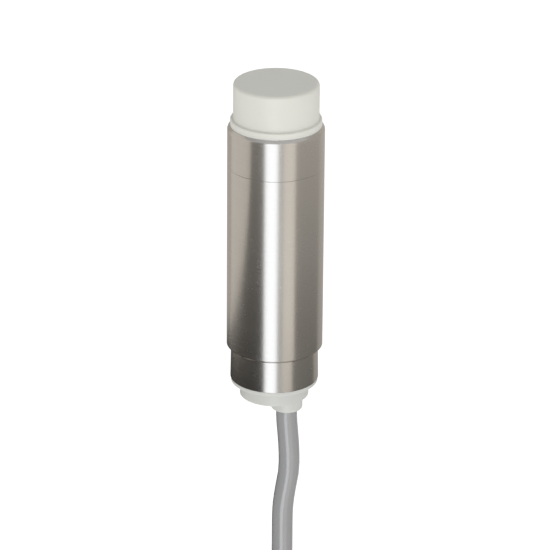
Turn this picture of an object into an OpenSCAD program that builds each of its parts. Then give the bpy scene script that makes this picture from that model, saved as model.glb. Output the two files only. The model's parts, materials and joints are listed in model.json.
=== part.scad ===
// Cylindrical non-contact sensor with a smooth steel barrel, a moulded sensing
// head, a rear adjuster and a moulded-in cable. Millimetres, +Z towards the
// sensing face. The origin is on the axis, halfway along the clamping zone.

/* [Barrel] */
// Outer diameter of the smooth barrel
barrel_d = 34; // [33:0.1:42]
// Wall thickness of collar and barrel
barrel_wall = 2.5; // [2.1:0.1:3]
// Length of the metal front collar, up to the joint line
collar_len = 15; // [13:0.5:24]
// Length of the plain clamping zone behind the joint line
clamp_len = 68; // [60:0.1:100]
// Length of the turned-down tail behind the clamping zone
tail_len = 12.8; // [11:0.2:20]
// Radial step from the clamping zone down to the tail
tail_step = 1.55; // [1.2:0.05:1.6]
// Radial growth of the tail towards its rear end
tail_flare = 0.2; // [0:0.05:0.3]
// Radial width of the bevel at the front rim
rim_bevel = 1; // [0.4:0.1:1.2]
// Axial height of the bevel at the front rim
rim_bevel_h = 1.2; // [0.6:0.1:2]
// Length of the collar's spigot inside the barrel
spigot_len = 6; // [4:0.5:8]
// Wall thickness of the collar's spigot
spigot_wall = 1; // [0.8:0.1:1.2]
// Small bevel on every turned edge
edge_break = 0.15; // [0.1:0.05:0.25]

/* [Sensing head] */
// Diameter of the sensing head
head_d = 30; // [28:0.5:30.5]
// Height of the sensing face above the metal rim
head_proud = 15.5; // [13:0.1:25]
// Height of the head's flange
head_flange_h = 2.4; // [1.6:0.1:3.5]
// Rounding of the face's edge
head_round = 0.7; // [0.3:0.1:1.5]
// Thickness of the sensing face
face_wall = 2.2; // [1.6:0.1:3]
// Thickness of the head's side wall
head_wall = 2; // [1.7:0.1:2.4]
// Length of the head's skirt inside the collar
skirt_len = 8; // [7:0.5:10]

/* [Rear cap] */
// How far the rear flange stays inside the tail's edge
rear_flange_inset = 0.25; // [0:0.05:0.5]
// Thickness of the rear flange
rear_flange_h = 1.5; // [1:0.1:3]
// Radial step from the rear flange in to the raised boss
rear_boss_inset = 3.15; // [2.6:0.05:3.3]
// Distance from the tail's end to the rear face
rear_boss_h = 6.9; // [6.2:0.1:11]
// Rounding of the rear face's edge
rear_round = 0.9; // [0.5:0.1:1.5]
// Thickness of the rear floor
rear_floor = 2.5; // [2:0.1:3]
// Length of the plug inside the barrel
plug_len = 9; // [8:0.5:12]
// Wall thickness of the plug
plug_wall = 2.05; // [1.9:0.05:2.3]

/* [Cable outlet] */
// Direction of the outlet from the axis, in degrees from +X
outlet_turn = -48; // [-60:1:-40]
// Wall round the cable seal
outlet_wall = 1.05; // [0.9:0.05:1.3]
// Wall thickness of the cable seal
seal_wall = 0.8; // [0.7:0.05:1]
// Length of the outlet below the rear face
outlet_len = 3.5; // [3:0.1:9]
// Rounding of the outlet's end
outlet_round = 0.9; // [0.5:0.1:1.2]
// Thickness of the lip under the seal
lip_h = 1.2; // [1:0.1:2.5]

/* [Cable] */
// Outer diameter of the cable jacket
cable_d = 7.5; // [6.2:0.1:9]
// Diameter of one insulated conductor
wire_d = 1.7; // [1.3:0.1:1.9]
// Mean radius of the tied coil
coil_r = 42.5; // [40:0.5:45]
// Turns in each layer of the coil
layer_turns = 1.775; // [1.5:0.025:2]
// Layers in the coil
coil_layers = 4; // [3:1:5]

/* [Adjuster and lamp] */
// Diameter of the adjuster's shaft
adjuster_d = 3; // [2.5:0.1:3.6]
// Width of the adjuster's screwdriver slot
slot_w = 0.6; // [0.5:0.05:0.8]
// Depth of the adjuster's screwdriver slot
slot_h = 0.9; // [0.6:0.1:1.2]
// Side of the square trimmer housing
trimmer_w = 6; // [5:0.1:6.2]
// Height of the trimmer housing
trimmer_h = 4; // [3.2:0.1:4.2]
// Diameter of the light guide
guide_d = 3; // [2.4:0.1:3.2]

/* [Circuit boards] */
// Thickness of all circuit boards
board_t = 1.6; // [1.3:0.1:2]
// Room between the main board's edge and the barrel's bore
board_margin = 1.7; // [1.6:0.1:2]
// Diameter of the sensing electrode
electrode_d = 20.8; // [18:0.1:21.6]

/* [Fits] */
// Radial gap between parts that are pushed together
fit_gap = 0.05; // [0.03:0.01:0.08]
// Radial gap round the turning shaft
run_gap = 0.03; // [0.02:0.01:0.06]

/* [Hidden] */
$fn = 96;
SMALL_FN = 32;

STEEL = "silver";
PLASTIC = "ivory";
NATURAL = "whitesmoke";
CABLE_GREY = "darkgray";
BOARD_GREEN = "darkgreen";
RUBBER = "dimgray";
BRASS = "goldenrod";
COPPER = "peru";

// Radii that follow from the diameters and walls
barrel_r = barrel_d / 2;
bore_r = barrel_r - barrel_wall;
tail_root_r = barrel_r - tail_step;
tail_end_r = tail_root_r + tail_flare;
spigot_r = bore_r + spigot_wall;
skirt_r = bore_r - fit_gap;
head_r = head_d / 2;
head_flange_r = barrel_r - rim_bevel;
head_bore_r = head_r - head_wall;
rear_flange_r = tail_end_r - rear_flange_inset;
rear_boss_r = rear_flange_r - rear_boss_inset;
cable_r = cable_d / 2;
seal_r = cable_r + seal_wall;
outlet_r = seal_r + outlet_wall;
wire_r = wire_d / 2;
adjuster_r = adjuster_d / 2;
guide_r = guide_d / 2;

// Heights, from the front down
line_z = clamp_len / 2;
rim_z = line_z + collar_len;
face_z = rim_z + head_proud;
skirt_z = rim_z - skirt_len;
step_z = -clamp_len / 2;
tail_z = step_z - tail_len;
rear_flange_z = tail_z - rear_flange_h;
rear_z = tail_z - rear_boss_h;
floor_z = rear_z + rear_floor;
outlet_z = rear_z - outlet_len;
plug_z = tail_z + plug_len;

// Rounded and hollowed edges of the two mouldings
head_flange_round = 0.5;
head_foot = 0.15;
rear_flange_round = 0.3;
gate_mark = [1.3, 0.8, 0.6];

// The outlet stands just proud of the rear boss's wall
outlet_proud = 0.1;
outlet_way = [cos(outlet_turn), sin(outlet_turn)];
outlet_at = (rear_boss_r - outlet_r + outlet_proud) * outlet_way;

// O-rings and their grooves
o_ring_r = 0.48;
o_ring_groove_w = 1.4;
o_ring_groove_r = bore_r - 2 * o_ring_r - fit_gap;
cap_ring_z = rim_z - 5;
rear_ring_z = tail_z + 4.5;

// The space behind the face: disc electrode, guard ring and their carrier
electrode_t = 0.3;
electrode_z = face_z - face_wall - electrode_t;
carrier_h = 6.5;
carrier_z = electrode_z - carrier_h;
carrier_r = head_bore_r - fit_gap;
carrier_rim = 0.45;
guard_out_r = carrier_r - carrier_rim;
guard_wall = 1;
guard_depth = 5;
pin_r = 0.6;
pin_past = 0.6;
guard_pin_r = 0.4;
guard_pin_at = guard_out_r - guard_wall / 2;
post_h = 1.4;
post_r = 1;
post_at = carrier_r - 4.4;
POST_TURNS = [90, 210, 330];
front_board_z = carrier_z - post_h - board_t;
front_board_r = head_bore_r - 0.4;

// The long main board, its rails and its header
board_w = 2 * (bore_r - board_margin);
board_face = board_t / 2;
main_top_z = skirt_z - 1.5;
main_low_z = plug_z + 1.5;
main_len = main_top_z - main_low_z;
rail_grip = 1.3;
rail_in = board_w / 2 - rail_grip;
rail_half_w = 3.2;
rail_top_z = main_top_z;
header_w = 10;
header_h = 2.5;
header_pin_r = 0.3;
header_pins_n = 4;
header_pitch = 2.54;
header_z = main_top_z - header_h;
board_hole_r = 1.1;
board_hole_x = 9;
BOARD_HOLES_Z = [main_low_z + 8, main_top_z - 6];

// Parts on the main board: [width, depth, height], middle x, lowest z, side.
// Side -1 is the front of the board and +1 its back.
FRONT = -1;
BACK = 1;
CHIPS = [
    [[5, 1.6, 4], -4.5, main_low_z + 55, FRONT],
    [[5, 1.6, 6], 3.5, main_low_z + 45, FRONT],
    [[7, 1.8, 7], 0, main_low_z + 52, BACK],
    [[4, 1.4, 3], 6.5, main_low_z + 26, BACK],
];
RESISTORS = [
    for (k = [0:5]) [[1.6, 0.6, 0.9], -8, main_low_z + 37 + 2.2 * k, FRONT],
    for (k = [0:4]) [[0.9, 0.6, 1.6], -4 + 2 * k, main_low_z + 41.5, BACK],
];
CAPACITORS = [
    for (k = [0:4]) [[2, 1.2, 1.3], 8.2, main_low_z + 45 + 2.6 * k, FRONT],
    for (k = [0:3]) [[1.3, 1.2, 2], -8 + 2.4 * k, main_low_z + 60, BACK],
];
TRANSISTOR = [[6.5, 2.3, 6], 6.6, main_low_z + 25, FRONT];
TRANSISTOR_TAB = [[5.2, 0.5, 2], 6.6, main_low_z + 31, FRONT];

// Parts under the front board: size, middle x and y
FRONT_PARTS = [
    [[5, 4, 1.5], -5.5, 5.5],
    [[3, 1.6, 1.1], 4.5, 6.5],
    for (y = [3.9, 2.5, -3.9, -5.3]) [[1.6, 0.8, 0.6], 4.5, y],
    for (x = [-8, -6, -4]) [[1.2, 2, 1.1], x, -6.5],
];

// Round parts on the main board
can_r = 2.6;
can_h = 9;
can_z = main_low_z + 24;
CANS_X = [-6.2, 0];
disc_r = 4.5;
disc_t = 3.2;
disc_leg_h = 0.4;
disc_leg_r = 0.35;
disc_leg_at = 2;
disc_at = [-5, main_low_z + 22];
choke_r = 3.6;
choke_flange = 1;
choke_h = 5.4;
choke_post_r = 1.8;
choke_margin = 0.4;
choke_at = [5, main_low_z + 36];

// The earthing spring between board and barrel
spring_w = 4;
spring_t = 0.3;
spring_z = main_low_z + 44;
spring_reach = bore_r - 0.1;

// The potting that fixes the board and the wires
resin_z = main_low_z + 3.5;
resin_h = 6;

// The rear board and what it carries
ledge_z = tail_z + 4.2;
plug_in_r = skirt_r - plug_wall;
rear_board_r = plug_in_r - 0.2;
ledge_r = rear_board_r - 0.6;
cavity_z = tail_z - 0.8;
cavity_r = rear_boss_r - 2.25;
wire_room = seal_r + 0.5;
wire_slot = wire_room - 0.6;
adjuster_at = [-5, 4.5];
lamp_at = [-5, -4.5];
trimmer_z = ledge_z - trimmer_h;
rotor_r = 2;
rotor_h = 1;
rotor_slot_w = 0.7;
rotor_slot_h = 0.7;
blade_len = 3;
blade_w = 0.5;
blade_h = 0.6;
blade_root = 0.5;
turn_gap = 0.1;
shoulder_r = adjuster_r + 0.9;
shoulder_h = 0.7;
gland_r = shoulder_r + 0.5;
gland_h = 2.6;
gland_z = floor_z + gland_h;
gland_seal_r = adjuster_r + 0.75;
gland_seal_h = 1;
adjuster_recess = 0.35;
lamp_r = 1.5;
lamp_flange_r = 1.9;
lamp_flange_h = 1;
lamp_h = 4.6;
guide_flange_r = guide_r + 0.6;
guide_flange_h = 1.2;

// The cable's fixing inside the rear cap
ferrule_h = 3.6;
ferrule_r = seal_r - 0.1;
stub_z = floor_z + ferrule_h + 0.6;
lip_gap = 0.2;

// Where the three conductors leave the jacket and where they are soldered
wire_circle_r = 1.7;
WIRE_TURNS = [150, 270, 30];
PADS_X = [-4.5, 0, 4.5];
wire_lane_y = -board_face - 1.9;
wire_rise = 4;
pad_y = -board_face - wire_r - 0.1;
pad_z = main_low_z + 16;

// Free stretch of the cable, from the outlet down to the tied coil
CABLE_ROUTE = [
    [0, 0, 0], [0, 0, -3], [0.15, 0, -6], [0.5, 0, -10], [0.8, 0, -14], [1, 0, -18],
    [1.05, 0, -22], [0.8, 0, -26], [0.15, 0, -30], [-0.6, 0, -35],
    [-1.1, -0.3, -40], [-1.2, -1, -45], [-1.2, -2, -50], [-1.2, -3.2, -55],
    [-1.2, -4.4, -60], [-1.8, -5.7, -66.5], [-3.7, -6.7, -72.7],
    [-6.7, -7.4, -78.5], [-10.7, -7.8, -83.6], [-15.7, -8, -87.9],
    [-21.3, -8, -91],
];
cable_sides = 10;

// The hanging coil: its layers lie side by side, its turns on each other
coil_pitch = cable_d + 0.2;
coil_half_depth = layer_turns * coil_pitch / 2;
coil_width = (coil_layers - 1) * coil_pitch;
coil_air = 0.3;
coil_half_h = coil_half_depth + cable_r + coil_air;
coil_half_w = coil_width / 2 + cable_r + coil_air;
coil_out_r = coil_r + coil_half_depth;
coil_centre = [outlet_at[0] - 1.2, outlet_at[1] - 8 + coil_width / 2, outlet_z - 136];

// The tie and the loose ends of the conductors
tie_turn = 127;
tie_w = 4.6;
tie_t = 1.1;
tie_gap = 0.15;
tie_head_size = [4.4, 6, 6.4];
end_turn = 150;
lead_run = 16;
LEAD_TURNS = [0, 120, 240];
LEAD_ENDS = [[-16, 0, -31], [-19.5, 2.5, -29], [-13.5, 3, -34]];
lead_ferrule_len = 8;
lead_ferrule_r = 0.75;

// Points of an arc in a profile
function arc(x, y, r, a0, a1, n = 8) =
    [for (i = [0:n]) let (a = a0 + (a1 - a0) * i / n) [x + r * cos(a), y + r * sin(a)]];

// A tube of radius r swept along the points p
function unit(v) = v / norm(v);
function heading(p, i) = unit(p[min(i + 1, len(p) - 1)] - p[max(i - 1, 0)]);
function side_of(d) = abs(d[1]) < 0.9 ? unit(cross(d, [0, 1, 0])) : unit(cross(d, [1, 0, 0]));
function ring_points(p, i, r, n) =
    let (d = heading(p, i), u = side_of(d), v = cross(d, u))
    [for (k = [0:n - 1]) p[i] + r * (u * cos(360 * k / n) + v * sin(360 * k / n))];

module sweep(p, r, n = 8) {
    rings = len(p);
    points = [for (i = [0:rings - 1]) each ring_points(p, i, r, n)];
    sides = [
        for (i = [0:rings - 2], k = [0:n - 1])
            let (a = i * n + k, b = i * n + (k + 1) % n)
            each [[a, a + n, b], [b, a + n, b + n]]
    ];
    first = [[for (k = [0:n - 1]) k]];
    last = [[for (k = [n - 1:-1:0]) (rings - 1) * n + k]];
    polyhedron(points, concat(sides, first, last), convexity = 6);
}

// A smooth curve from a to c that leans towards b
function bow(a, b, c, n = 10) =
    [for (i = [0:n]) let (t = i / n) (1 - t) * (1 - t) * a + 2 * t * (1 - t) * b + t * t * c];

module tube(r_out, r_in, z0, z1) {
    translate([0, 0, z0]) difference() {
        cylinder(r = r_out, h = z1 - z0);
        translate([0, 0, -1]) cylinder(r = r_in, h = z1 - z0 + 2);
    }
}

module block(size, at) {
    translate([at[0] - size[0] / 2, at[1] - size[1] / 2, at[2]]) cube(size);
}

// Moves its children to a point of the plan, at height z
module at_plan(p, z) {
    translate([p[0], p[1], z]) children();
}

// ---- housing ----

module sensing_cap() {
    groove = o_ring_groove_w / 2;
    flange_z = rim_z + head_flange_h;
    color(PLASTIC) rotate_extrude() polygon(concat(
        [
            [head_bore_r, skirt_z], [skirt_r, skirt_z],
            [skirt_r, cap_ring_z - groove], [o_ring_groove_r, cap_ring_z - groove],
            [o_ring_groove_r, cap_ring_z + groove], [skirt_r, cap_ring_z + groove],
            [skirt_r, rim_z], [head_flange_r, rim_z],
        ],
        arc(head_flange_r - head_flange_round, flange_z - head_flange_round, head_flange_round, 0, 90),
        [
            [head_r, flange_z], [head_r - head_foot, flange_z + head_foot],
            [head_r, flange_z + 2 * head_foot],
        ],
        arc(head_r - head_round, face_z - head_round, head_round, 0, 90),
        [[0, face_z], [0, face_z - face_wall], [head_bore_r, face_z - face_wall]]
    ));
}

module front_collar() {
    color(STEEL) rotate_extrude() polygon([
        [bore_r, rim_z], [head_flange_r, rim_z], [barrel_r, rim_z - rim_bevel_h],
        [barrel_r, line_z + edge_break], [barrel_r - edge_break, line_z],
        [spigot_r - fit_gap, line_z], [spigot_r - fit_gap, line_z - spigot_len],
        [bore_r, line_z - spigot_len],
    ]);
}

module barrel() {
    seat_z = line_z - spigot_len - fit_gap;
    color(STEEL) rotate_extrude() polygon([
        [bore_r, seat_z], [spigot_r, seat_z], [spigot_r, line_z],
        [barrel_r - edge_break, line_z], [barrel_r, line_z - edge_break],
        [barrel_r, step_z + 2 * edge_break], [barrel_r - 2 * edge_break, step_z],
        [tail_root_r, step_z], [tail_end_r, tail_z + edge_break],
        [tail_end_r - edge_break, tail_z], [bore_r, tail_z],
    ]);
}

// The rear cap's outside, without its hollows
module rear_cap_body() {
    groove = o_ring_groove_w / 2;
    rotate_extrude() polygon(concat(
        [[0, plug_z], [0, rear_z]],
        arc(rear_boss_r - rear_round, rear_z + rear_round, rear_round, -90, 0),
        [[rear_boss_r, rear_flange_z]],
        arc(rear_flange_r - rear_flange_round, rear_flange_z + rear_flange_round,
            rear_flange_round, -90, 0),
        [
            [rear_flange_r, tail_z], [skirt_r, tail_z],
            [skirt_r, rear_ring_z - groove], [o_ring_groove_r, rear_ring_z - groove],
            [o_ring_groove_r, rear_ring_z + groove], [skirt_r, rear_ring_z + groove],
            [skirt_r, plug_z],
        ]
    ));
    at_plan(outlet_at, 0) rotate_extrude() polygon(concat(
        [[0, rear_flange_z], [0, outlet_z]],
        arc(outlet_r - outlet_round, outlet_z + outlet_round, outlet_round, -90, 0),
        [[outlet_r, rear_flange_z]]
    ));
}

module rear_cap() {
    up = plug_z - outlet_z;
    color(PLASTIC) difference() {
        union() {
            difference() {
                rear_cap_body();
                translate([0, 0, ledge_z]) cylinder(r = plug_in_r, h = up);
                translate([0, 0, cavity_z]) cylinder(r = ledge_r, h = up);
                translate([0, 0, floor_z]) cylinder(r = cavity_r, h = up);
            }
            at_plan(adjuster_at, floor_z - blade_root) cylinder(r = gland_r, h = gland_h + blade_root);
        }
        at_plan(outlet_at, outlet_z - 1) cylinder(r = cable_r + lip_gap, h = up);
        at_plan(outlet_at, outlet_z + lip_h) cylinder(r = seal_r, h = up);
        at_plan(adjuster_at, rear_z - 1) cylinder(r = adjuster_r + run_gap, h = up);
        at_plan(adjuster_at, gland_z - gland_seal_h) cylinder(r = gland_seal_r, h = up);
        at_plan(lamp_at, rear_z - 1) cylinder(r = guide_r + fit_gap, h = rear_floor + 2);
        block(gate_mark, [0, -rear_flange_r, rear_flange_z]);
    }
}

module o_ring(at_z) {
    color(RUBBER) translate([0, 0, at_z]) rotate_extrude()
        translate([bore_r - o_ring_r - fit_gap / 2, 0]) circle(r = o_ring_r, $fn = SMALL_FN);
}

// ---- sensing element ----

module electrode_disc() {
    color(COPPER) translate([0, 0, electrode_z]) cylinder(r = electrode_d / 2, h = electrode_t);
}

module guard_ring() {
    color(BRASS) tube(guard_out_r, guard_out_r - guard_wall, electrode_z - guard_depth, electrode_z);
}

module electrode_carrier() {
    color(NATURAL) difference() {
        union() {
            translate([0, 0, carrier_z]) cylinder(r = carrier_r, h = carrier_h);
            for (a = POST_TURNS) rotate(a) translate([post_at, 0, carrier_z - post_h])
                cylinder(r = post_r, h = post_h + 1, $fn = SMALL_FN);
        }
        tube(guard_out_r + fit_gap, guard_out_r - guard_wall - fit_gap,
            electrode_z - guard_depth, electrode_z + 1);
        translate([0, 0, carrier_z - 1]) cylinder(r = pin_r + fit_gap, h = carrier_h + 2);
        translate([guard_pin_at, 0, carrier_z - 1]) cylinder(r = guard_pin_r + fit_gap, h = carrier_h);
    }
}

module electrode_pin() {
    low_z = front_board_z - pin_past;
    color(BRASS) translate([0, 0, low_z]) cylinder(r = pin_r, h = electrode_z - low_z);
}

module guard_pin() {
    low_z = front_board_z - pin_past;
    color(BRASS) translate([guard_pin_at, 0, low_z])
        cylinder(r = guard_pin_r, h = electrode_z - guard_depth - low_z);
}

module header_places() {
    for (k = [0:header_pins_n - 1])
        translate([(k - (header_pins_n - 1) / 2) * header_pitch, -board_face - header_h / 2, 0])
            children();
}

module front_board() {
    color(BOARD_GREEN) difference() {
        translate([0, 0, front_board_z]) cylinder(r = front_board_r, h = board_t);
        translate([0, 0, front_board_z - 1]) {
            cylinder(r = pin_r + fit_gap, h = board_t + 2);
            translate([guard_pin_at, 0, 0]) cylinder(r = guard_pin_r + fit_gap, h = board_t + 2);
            header_places() cylinder(r = header_pin_r + fit_gap, h = board_t + 2);
        }
    }
}

module front_board_parts() {
    color("black") for (part = FRONT_PARTS)
        block(part[0], [part[1], part[2], front_board_z - part[0][2]]);
}

module board_header() {
    color("black") difference() {
        block([header_w, header_h, header_h], [0, -board_face - header_h / 2, header_z]);
        translate([0, 0, header_z - 1]) header_places()
            cylinder(r = header_pin_r + fit_gap, h = header_h + 2);
    }
}

module header_pins() {
    low_z = header_z - pin_past;
    high_z = front_board_z + board_t + pin_past;
    color(BRASS) header_places() translate([0, 0, low_z]) cylinder(r = header_pin_r, h = high_z - low_z);
}

// ---- main board ----

module board_holes() {
    for (x = [-board_hole_x, board_hole_x], z = BOARD_HOLES_Z) translate([x, 0, z])
        rotate([90, 0, 0]) cylinder(r = board_hole_r, h = board_t + 2, center = true);
}

module main_board() {
    color(BOARD_GREEN) difference() {
        block([board_w, board_t, main_len], [0, 0, main_low_z]);
        board_holes();
    }
}

module on_board(parts) {
    for (part = parts) block(part[0], [part[1], part[3] * (board_face + part[0][1] / 2), part[2]]);
}

module board_chips() {
    color("black") on_board(CHIPS);
}

module chip_resistors() {
    color("black") on_board(RESISTORS);
}

module chip_capacitors() {
    color("tan") on_board(CAPACITORS);
}

module electrolytic_capacitors() {
    color("navy") for (x = CANS_X)
        translate([x, -board_face - can_r, can_z]) cylinder(r = can_r, h = can_h);
}

module power_transistor() {
    color("black") on_board([TRANSISTOR]);
    color(STEEL) on_board([TRANSISTOR_TAB]);
}

// Turns its children so that they grow out of the board's back
module on_back(at) {
    translate([at[0], board_face, at[1]]) rotate([-90, 0, 0]) children();
}

module surge_suppressor() {
    color("royalblue") on_back(disc_at) translate([0, 0, disc_leg_h])
        cylinder(r = disc_r, h = disc_t);
    color(STEEL) on_back(disc_at) for (s = [-1, 1])
        translate([s * disc_leg_at, 0, 0]) cylinder(r = disc_leg_r, h = disc_leg_h);
}

module choke_core() {
    color(RUBBER) on_back(choke_at) {
        cylinder(r = choke_r, h = choke_flange);
        cylinder(r = choke_post_r, h = choke_h);
        translate([0, 0, choke_h - choke_flange]) cylinder(r = choke_r, h = choke_flange);
    }
}

module choke_winding() {
    color(COPPER) on_back(choke_at) tube(choke_r - choke_margin, choke_post_r + fit_gap,
        choke_flange + fit_gap, choke_h - choke_flange - fit_gap);
}

// One moulded rail that holds an edge of the main board; side is -1 or +1
module rail(side) {
    rail_len = rail_top_z - main_low_z;
    color(NATURAL) difference() {
        intersection() {
            translate([0, 0, main_low_z]) cylinder(r = bore_r - fit_gap, h = rail_len);
            block([bore_r - rail_in, 2 * rail_half_w, rail_len],
                [side * (rail_in + bore_r) / 2, 0, main_low_z]);
        }
        block([board_w + 2 * fit_gap, board_t + 2 * fit_gap, main_len + 2], [0, 0, main_low_z - 1]);
    }
}

module ground_spring() {
    tip = 1;
    low = board_face + 4;
    color(BRASS) translate([-spring_w / 2, 0, spring_z]) rotate([90, 0, 90])
        linear_extrude(spring_w) polygon([
            [board_face, 0], [board_face + spring_t, 0], [board_face + spring_t, 2],
            [spring_reach - tip, 4.4], [spring_reach, 5], [spring_reach - tip, 5.6], [low, 6.4],
            [low, 6.1], [spring_reach - tip - 0.1, 5.2], [spring_reach - tip - 0.1, 4.8],
            [board_face, 2.4],
        ]);
}

module resin_plug() {
    rail_depth = bore_r - rail_in + 1;
    color("saddlebrown") difference() {
        translate([0, 0, resin_z]) cylinder(r = bore_r - fit_gap, h = resin_h);
        block([board_w + 2 * fit_gap, board_t + 2 * fit_gap, resin_h + 2], [0, 0, resin_z - 1]);
        for (s = [-1, 1])
            block([rail_depth, 2 * (rail_half_w + fit_gap), resin_h + 2],
                [s * (rail_in - fit_gap + rail_depth / 2), 0, resin_z - 1]);
        for (x = PADS_X) translate([x, wire_lane_y, resin_z - 1])
            cylinder(r = wire_r + fit_gap, h = resin_h + 2);
    }
}

// ---- rear board, lamp and adjuster ----

module rear_board() {
    color(BOARD_GREEN) difference() {
        translate([0, 0, ledge_z]) cylinder(r = rear_board_r, h = board_t);
        at_plan(outlet_at, ledge_z - 1) cylinder(r = wire_room, h = board_t + 2);
        at_plan(outlet_at, ledge_z - 1) rotate(outlet_turn)
            block([2 * rear_board_r, 2 * wire_slot, board_t + 2], [rear_board_r, 0, 0]);
    }
}

module trimmer_body() {
    color("royalblue") difference() {
        at_plan(adjuster_at, trimmer_z) block([trimmer_w, trimmer_w, trimmer_h], [0, 0, 0]);
        at_plan(adjuster_at, trimmer_z - 1) cylinder(r = rotor_r + turn_gap, h = rotor_h + turn_gap + 1);
    }
}

module trimmer_rotor() {
    color(STEEL) at_plan(adjuster_at, trimmer_z) difference() {
        cylinder(r = rotor_r, h = rotor_h);
        block([2 * rotor_r + 1, rotor_slot_w, rotor_slot_h + 1], [0, 0, -1]);
    }
}

module adjuster_screw() {
    low_z = rear_z + adjuster_recess;
    top_z = trimmer_z - turn_gap;
    color(BRASS) difference() {
        union() {
            at_plan(adjuster_at, low_z) cylinder(r = adjuster_r, h = top_z - low_z);
            at_plan(adjuster_at, gland_z + turn_gap) cylinder(r = shoulder_r, h = shoulder_h);
            at_plan(adjuster_at, top_z - blade_root)
                block([blade_len, blade_w, blade_h + blade_root], [0, 0, 0]);
        }
        at_plan(adjuster_at, low_z) block([2 * adjuster_r + 1, slot_w, slot_h + 1], [0, 0, -1]);
    }
}

module adjuster_seal() {
    color(RUBBER) at_plan(adjuster_at, 0) tube(gland_seal_r - fit_gap, adjuster_r + run_gap,
        gland_z - gland_seal_h, gland_z - fit_gap);
}

module status_led() {
    color("gold") at_plan(lamp_at, ledge_z) mirror([0, 0, 1]) {
        cylinder(r = lamp_flange_r, h = lamp_flange_h);
        cylinder(r = lamp_r, h = lamp_h - lamp_r);
        translate([0, 0, lamp_h - lamp_r]) sphere(r = lamp_r);
    }
}

module light_guide() {
    color("lightyellow") {
        at_plan(lamp_at, rear_z) cylinder(r = guide_r, h = rear_floor);
        at_plan(lamp_at, floor_z) cylinder(r = guide_flange_r, h = guide_flange_h);
    }
}

// ---- cable fixing ----

module crimp_ferrule() {
    color(STEEL) at_plan(outlet_at, 0)
        tube(ferrule_r, cable_r + fit_gap, floor_z, floor_z + ferrule_h);
}

module cable_seal() {
    color(RUBBER) at_plan(outlet_at, 0)
        tube(seal_r - fit_gap, cable_r + fit_gap, outlet_z + lip_h, floor_z - fit_gap);
}

module cable_stub() {
    color(CABLE_GREY) at_plan(outlet_at, outlet_z) cylinder(r = cable_r, h = stub_z - outlet_z);
}

function wire_path(k) =
    let (
        a = WIRE_TURNS[k],
        start = [outlet_at[0] + wire_circle_r * cos(a), outlet_at[1] + wire_circle_r * sin(a), stub_z],
        up = start + [0, 0, wire_rise],
        low = [PADS_X[k], wire_lane_y, resin_z - 1],
        high = [PADS_X[k], wire_lane_y, resin_z + resin_h + 1],
        pad = [PADS_X[k], pad_y, pad_z]
    )
    concat([start, up], [for (i = [1:5]) up + (low - up) * (0.5 - 0.5 * cos(180 * i / 5))],
        [high], bow(high + [0, 0, 1], high + [0, 0, 3], pad, 4));

module wire(k, tint) {
    color(tint) sweep(wire_path(k), wire_r);
}

// ---- free cable, coil and its ends ----

module cable() {
    start = [outlet_at[0], outlet_at[1], outlet_z];
    color(CABLE_GREY) sweep([for (p = CABLE_ROUTE) start + p], cable_r, cable_sides);
}

module cable_coil() {
    x = coil_half_h - cable_r;
    y = coil_half_w - cable_r;
    color(CABLE_GREY) translate(coil_centre) rotate([90, 0, 0]) rotate_extrude() polygon(concat(
        arc(coil_r + x, y, cable_r, 0, 90, 4),
        arc(coil_r - x, y, cable_r, 90, 180, 4),
        arc(coil_r - x, -y, cable_r, 180, 270, 4),
        arc(coil_r + x, -y, cable_r, 270, 360, 4)
    ));
}

// Places its children at the tie: X outwards, Y across the coil
module at_tie() {
    translate(coil_centre) rotate([0, -tie_turn, 0]) translate([coil_r, 0, 0]) children();
}

module tie_strap() {
    in_h = coil_half_h + tie_gap;
    in_w = coil_half_w + tie_gap;
    color(NATURAL) at_tie() difference() {
        block([2 * (in_h + tie_t), 2 * (in_w + tie_t), tie_w], [0, 0, -tie_w / 2]);
        block([2 * in_h, 2 * in_w, tie_w + 2], [0, 0, -tie_w / 2 - 1]);
    }
}

module tie_head() {
    out = coil_half_h + tie_gap + tie_t + tie_head_size[0] / 2;
    color(NATURAL) at_tie() block(tie_head_size, [out, 0, -tie_head_size[2] / 2]);
}

function lead_path(k) =
    let (
        out = [cos(end_turn), 0, sin(end_turn)],
        onward = [-sin(end_turn), 0, cos(end_turn)],
        jacket_end = coil_centre + coil_out_r * out + [0, coil_width / 2, 0],
        a = LEAD_TURNS[k],
        start = jacket_end + wire_circle_r * (out * cos(a) + [0, sin(a), 0])
    )
    bow(start, start + lead_run * onward, jacket_end + LEAD_ENDS[k]);

module lead(k, tint) {
    color(tint) sweep(lead_path(k), wire_r);
}

module lead_ferrules() {
    color(STEEL) for (k = [0:len(LEAD_ENDS) - 1]) {
        p = lead_path(k);
        last = p[len(p) - 1];
        sweep([last, last + lead_ferrule_len * heading(p, len(p) - 1)], lead_ferrule_r);
    }
}

sensing_cap();
front_collar();
barrel();
rear_cap();
o_ring(cap_ring_z);  // cap_o_ring
o_ring(rear_ring_z);  // rear_o_ring
electrode_disc();
guard_ring();
electrode_carrier();
electrode_pin();
guard_pin();
front_board();
front_board_parts();
board_header();
header_pins();
main_board();
board_chips();
chip_resistors();
chip_capacitors();
electrolytic_capacitors();
power_transistor();
surge_suppressor();
choke_core();
choke_winding();
rail(-1);  // left_rail
rail(1);  // right_rail
ground_spring();
resin_plug();
rear_board();
trimmer_body();
trimmer_rotor();
adjuster_screw();
adjuster_seal();
status_led();
light_guide();
crimp_ferrule();
cable_seal();
cable_stub();
wire(0, "saddlebrown");  // wire_brown
wire(1, "black");  // wire_black
wire(2, "blue");  // wire_blue
cable();
cable_coil();
tie_strap();
tie_head();
lead(0, "saddlebrown");  // lead_brown
lead(1, "black");  // lead_black
lead(2, "blue");  // lead_blue
lead_ferrules();
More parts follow.
